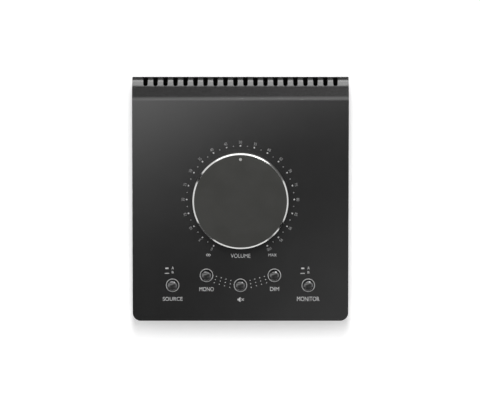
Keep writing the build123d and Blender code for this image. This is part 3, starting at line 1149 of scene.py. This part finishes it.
def makeLegendPrint():
    prints = []
    for words, (x, y, width, height) in legends.items():
        prints.append(printedText(words, x, y, height, width))
    for button in ("source", "monitor"):
        spot = buttonSpots[button]
        for letter in ("A", "B"):
            width, height, up = stateKey[letter]
            x, y = spot.x + stateKey["letterX"], spot.y + up
            prints.append(printedText(letter, x, y, height, width))
        for sign in ("raised", "pressed"):
            width, height, up = stateKey[sign]
            prints.append(printedBar(width, height, spot.x + stateKey["signX"], spot.y + up))
    asPrint(prints, "legendPrint")


def makeSignPrint():
    x, y = muteSign["at"]
    parts = []
    for width, height, across, turn, flare in muteSign["bars"]:
        parts.append(printedBar(width, height, x + across, y, turn, flare))
    x, y = loops["at"]
    for side in (-1, 1):
        place = x + side * loops["radius"]
        parts.append(printedRing(loops["radius"], loops["width"], place, y, steps=28))
    asPrint(parts, "signPrint")


def makeRingPrint():
    rings = []
    for spot in buttonSpots.values():
        rings.append(printedRing(ink["ringRadius"], ink["ringWidth"], spot.x, spot.y))
    asPrint(rings, "buttonRings")


def makeDotBand():
    dots = []
    for side in (-1, 1):
        for column in range(dotBand["columns"]):
            for row in range(dotBand["rows"]):
                lean = row * (dotBand["lean"] + column * dotBand["leanGrowth"])
                drop = row * (dotBand["rowGap"] - column * dotBand["rowSpread"])
                x = dotBand["firstX"] + column * dotBand["pitchX"] + lean
                y = dotBand["topY"] + column * dotBand["climb"] - drop
                dots.append(printedDot(dotBand["radius"], side * x, y))
    asPrint(dots, "dotBandPrint")


makeScalePrint()
makeLegendPrint()
makeSignPrint()
makeRingPrint()
makeDotBand()
print("legends printed")


view = {
    "fromKnob": (-0.28 * mm, -6.45 * mm),
    "height": 1711 * mm,
    "focalLength": 204.0,
    "sensor": 36.0,
}
keyLamp = {  # radiance 1 is white
    "at": (0, 0.21, 1.1), "aim": (0, 0, 0), "size": (0.12, 0.38), "radiance": 45.0,
}
rearBend = (0, 0.072, 0.038)
cards = {  # glowing cards that only reflections show, some of them fading towards their edges
    "overhead": {
        "at": (0, 0.098, 0.4), "aim": (0, 0.098, 0), "size": (1.1, 0.25), "level": 1.05,
        "turn": 16, "fade": "bar",
    },
    "leftSide": {
        "at": (-0.09, -0.03, 0.39), "aim": (-0.09, -0.03, 0), "size": (0.24, 0.19), "level": 0.2,
        "fade": "round",
    },
    "lowerRight": {
        "at": (0.1, -0.17, 0.39), "aim": (0.1, -0.17, 0), "size": (0.34, 0.34), "level": 0.2,
        "fade": "round",
    },
    "rearHigh": {"at": (0, 0.72, 0.508), "aim": rearBend, "size": (1.12, 0.51), "level": 1.95},
    "rearLow": {"at": (0, 0.86, 0.2), "aim": rearBend, "size": (1.12, 0.185), "level": 1.9},
    "rightRear": {
        "at": (0.275, 0.476, 0.27), "aim": (0.03, -0.05, 0.038), "size": (0.16, 0.17), "level": 14,
    },
    "rearSkirt": {"at": (0, 0.866, 0.052), "aim": rearBend, "size": (1.12, 0.112), "level": 3.6},
    "rearFloor": {
        "at": (0, 0.185, 0.002), "aim": (0, 0.185, 1), "size": (1.2, 0.22), "level": 0.15,
    },
    "frontShade": {
        "at": (0, -0.5, 0.348), "aim": (0, 0, 0.348), "size": (1.5, 0.475), "level": 0.06,
    },
}
flags = {  # dark cards round the knob
    "distance": 0.22,
    "all": (  # degrees clockwise from the rear, half the width in degrees, height, level
        (54.5, 14, 0.12, 0.14),
        (124, 5.5, 0.12, 0),
        (143, 4, 0.12, 0.3),
        (226, 13.3, 0.12, 0.1),
        (296, 6.2, 0.12, 0),
    ),
}
sky = {"plain": 0.35, "zenith": 0.035, "horizon": 1.0, "zenithFrom": 0.88, "horizonTo": 0.3}
ground = {"size": 6, "colour": 0.88, "roughness": 0.9, "glow": 0.42}


def addCamera():
    clearSelection()
    across, back = view["fromKnob"]
    eye = (across, panelPlace.translation.y + back, view["height"])
    bpy.ops.object.camera_add(location=eye, rotation=(0, 0, 0))
    camera = named("camera")
    camera.data.lens = view["focalLength"]
    camera.data.sensor_width = view["sensor"]
    camera.data.clip_start = 0.05
    camera.data.clip_end = 20
    bpy.context.scene.camera = camera


def addKeyLamp(at, aim, size, radiance):
    clearSelection()
    bpy.ops.object.light_add(type="AREA", location=at)
    light = named("key")
    light.rotation_euler = (Vector(aim) - Vector(at)).to_track_quat("-Z", "Y").to_euler()
    light.data.shape = "RECTANGLE"
    light.data.size, light.data.size_y = size
    light.data.energy = radiance * math.pi * size[0] * size[1]
    light.visible_camera = False
    light.visible_glossy = False


def fadeOut(finish, level, shape):  # the card's glow fades towards its edges, and it hides nothing
    where = addNode(finish, "ShaderNodeTexCoord").outputs["UV"]
    centring = {"Vector": where, "Location": (-1, -1, 0), "Scale": (2, 2, 1)}
    where = addNode(finish, "ShaderNodeMapping", centring, vector_type="POINT").outputs["Vector"]
    if shape == "bar":
        upright = {0: where, 1: (0, 1, 0)}
        flat = addNode(finish, "ShaderNodeVectorMath", upright, operation="MULTIPLY")
        where = flat.outputs["Vector"]
    away = addNode(finish, "ShaderNodeVectorMath", {0: where}, operation="LENGTH")
    ends = {"Value": away.outputs["Value"], "To Min": level, "To Max": 0}
    fade = addNode(finish, "ShaderNodeMapRange", ends, interpolation_type="SMOOTHSTEP")
    glow = addNode(finish, "ShaderNodeEmission", {"Strength": fade.outputs["Result"]})
    clear = addNode(finish, "ShaderNodeBsdfTransparent")
    pair = {0: glow.outputs["Emission"], 1: clear.outputs["BSDF"]}
    both = addNode(finish, "ShaderNodeAddShader", pair).outputs["Shader"]
    feed(finish, finish.node_tree.nodes["Material Output"], {"Surface": both})


def addCard(name, at, aim, size, level, turn=0, fade=None):
    clearSelection()
    bpy.ops.mesh.primitive_plane_add(size=1)
    card = named(name)
    face = (Vector(at) - Vector(aim)).to_track_quat("Z", "Y").to_matrix().to_4x4()
    settle(card, Matrix.Translation(at) @ face @ spun(turn) @ Matrix.Diagonal((*size, 1, 1)))
    finish = newFinish(name + "Glow", {
        "Base Color": (0, 0, 0, 1), "Specular IOR Level": 0,
        "Emission Color": (1, 1, 1, 1), "Emission Strength": level,
    })[0]
    if fade:
        fadeOut(finish, level, fade)
    card.data.materials.append(finish)
    for kind in ("camera", "diffuse", "transmission", "volume_scatter", "shadow"):
        setattr(card, "visible_" + kind, False)


def addFlags():
    centre = panelPlace.translation
    for count, (clockwise, half, height, level) in enumerate(flags["all"]):
        angle = math.radians(clockwise)
        away = Vector((math.sin(angle), math.cos(angle), 0)) * flags["distance"]
        at = Vector((centre.x, centre.y, height / 2)) + away
        size = (2 * flags["distance"] * math.tan(math.radians(half)), height)
        addCard(f"flag{count}", at, at - away, size, level)


def addWorld():
    world = bpy.data.worlds.new("studio")
    world.use_nodes = True
    bpy.context.scene.world = world
    where = addNode(world, "ShaderNodeTexCoord").outputs["Generated"]
    height = addNode(world, "ShaderNodeSeparateXYZ", {"Vector": where}).outputs["Z"]
    fade = ramp(world, height, sky["horizon"], sky["zenith"], sky["horizonTo"], sky["zenithFrom"])
    path = addNode(world, "ShaderNodeLightPath").outputs
    mirror = {"Factor": path["Is Glossy Ray"], "A": sky["plain"], "B": fade}
    mirrored = addNode(world, "ShaderNodeMix", mirror).outputs["Result"]
    white = {"Factor": path["Is Camera Ray"], "A": mirrored, "B": 1.0}
    seen = addNode(world, "ShaderNodeMix", white).outputs["Result"]
    shine = {"Color": (1, 1, 1, 1), "Strength": seen}
    feed(world, world.node_tree.nodes["Background"], shine)


def addFloor():
    clearSelection()
    bpy.ops.mesh.primitive_plane_add(size=ground["size"], location=(0, 0, 0))
    floor = settle(named("floor"))
    finish, shader = newFinish("floorWhite", {
        "Base Color": (*grey(ground["colour"]), 1), "Roughness": ground["roughness"],
        "Emission Color": (1, 1, 1, 1),
    })
    path = addNode(finish, "ShaderNodeLightPath").outputs
    either = {0: path["Is Camera Ray"], 1: path["Is Glossy Ray"]}
    seen = addNode(finish, "ShaderNodeMath", either, operation="MAXIMUM")
    share = {0: seen.outputs["Value"], 1: ground["glow"]}
    lit = addNode(finish, "ShaderNodeMath", share, operation="MULTIPLY").outputs["Value"]
    feed(finish, shader, {"Emission Strength": lit})
    floor.data.materials.append(finish)


addCamera()
addKeyLamp(**keyLamp)
for cardName, cardSettings in cards.items():
    addCard(cardName, **cardSettings)
addFlags()
addWorld()
addFloor()
bpy.context.scene.view_settings.view_transform = "Standard"
print("studio set")
